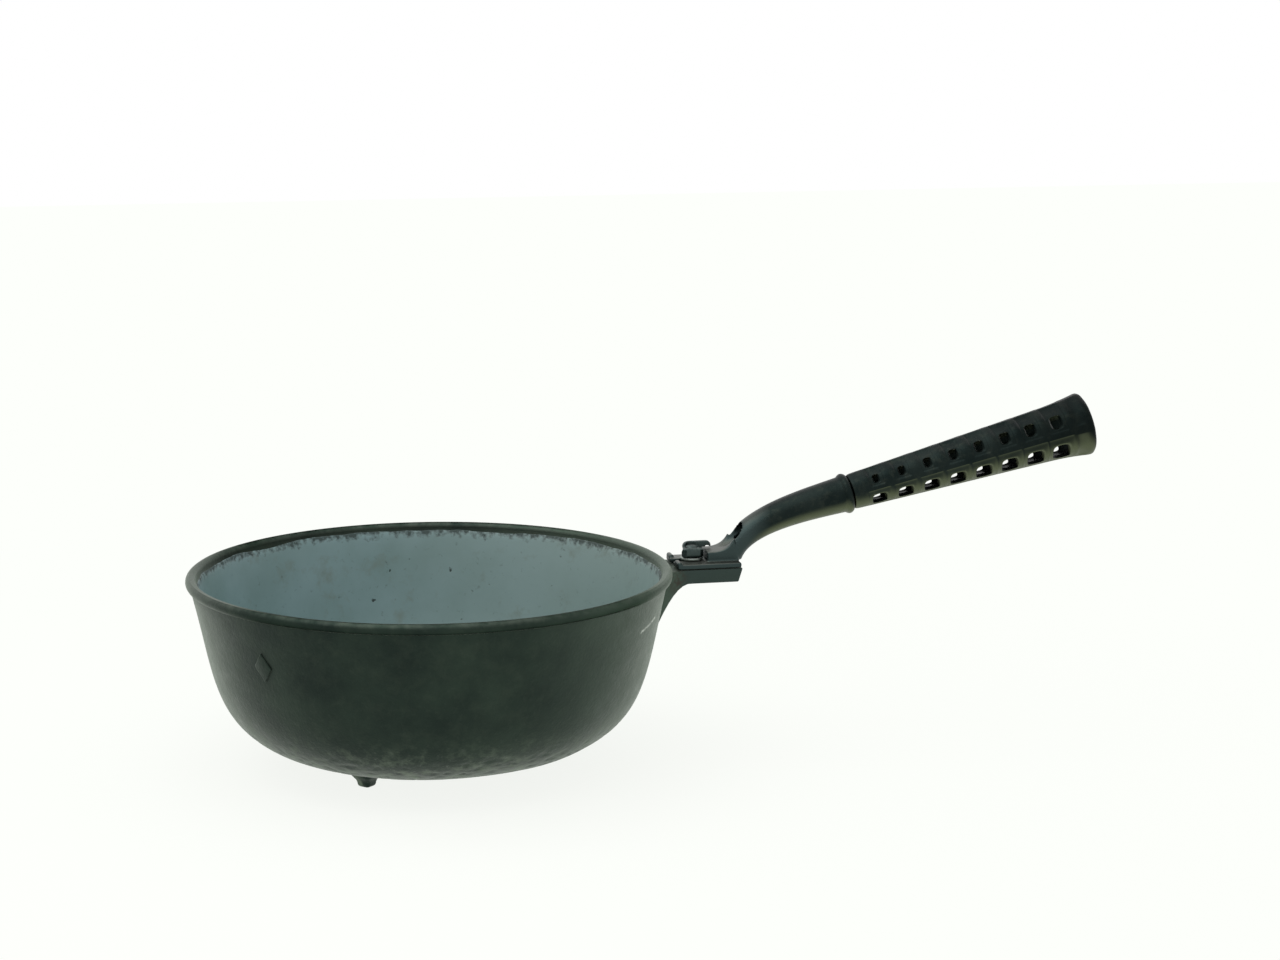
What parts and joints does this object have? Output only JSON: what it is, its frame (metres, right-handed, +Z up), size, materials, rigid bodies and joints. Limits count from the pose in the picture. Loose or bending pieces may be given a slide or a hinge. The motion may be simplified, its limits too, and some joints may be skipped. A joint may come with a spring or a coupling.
{
  "type": "cast iron pan",
  "caption": "Deep round cast iron pan on short feet, enamelled inside, with a hollow perforated handle clamped on a ledge at the rim by a thumb nut.",
  "frame": {"origin": "on the bowl's axis, at the flat of its underside; the feet reach 6 mm below it", "axes": "+X from the bowl's axis along the handle, +Z up out of the bowl, +Y to the left of someone who stands behind the bowl and looks along the handle"},
  "size_m": [0.4639, 0.24, 0.1753],
  "materials": {
    "bowl_iron": "as-cast sand-mould skin, oiled and sooted, pitted low down",
    "handle_iron": "smooth blackened casting, rubbed satin by hands",
    "clamp_iron": "blackened iron hardware",
    "enamel": "opaque blue-grey vitreous enamel, worn, chipped and stained"
  },
  "bodies": {
    "pan": {"bowl": "bowl_iron", "enamel_lining": "enamel", "clamp_bolt": "clamp_iron"},
    "handle": {"handle_arm": "handle_iron", "handle_grip": "handle_iron"},
    "washer": {"clamp_washer": "clamp_iron"},
    "nut": {"thumb_nut": "clamp_iron"}
  },
  "joints": [
    {"name": "handle_slide", "type": "slide", "parent": "pan", "child": "handle", "axis": [1, 0, 0], "range_m": [0, 0.04]},
    {"name": "washer_lift", "type": "slide", "parent": "pan", "child": "washer", "axis": [0, 0, 1], "range_m": [0, 0.002]},
    {"name": "nut_turn", "type": "hinge", "parent": "washer", "child": "nut", "pos_m": [0.1326, 0, 0.0934], "axis": [0, 0, 1], "range_deg": [0, 720]}
  ],
  "couplings": [
    {"joint": "nut_turn", "follows": "washer_lift", "rad_per_m": 6283}
  ]
}
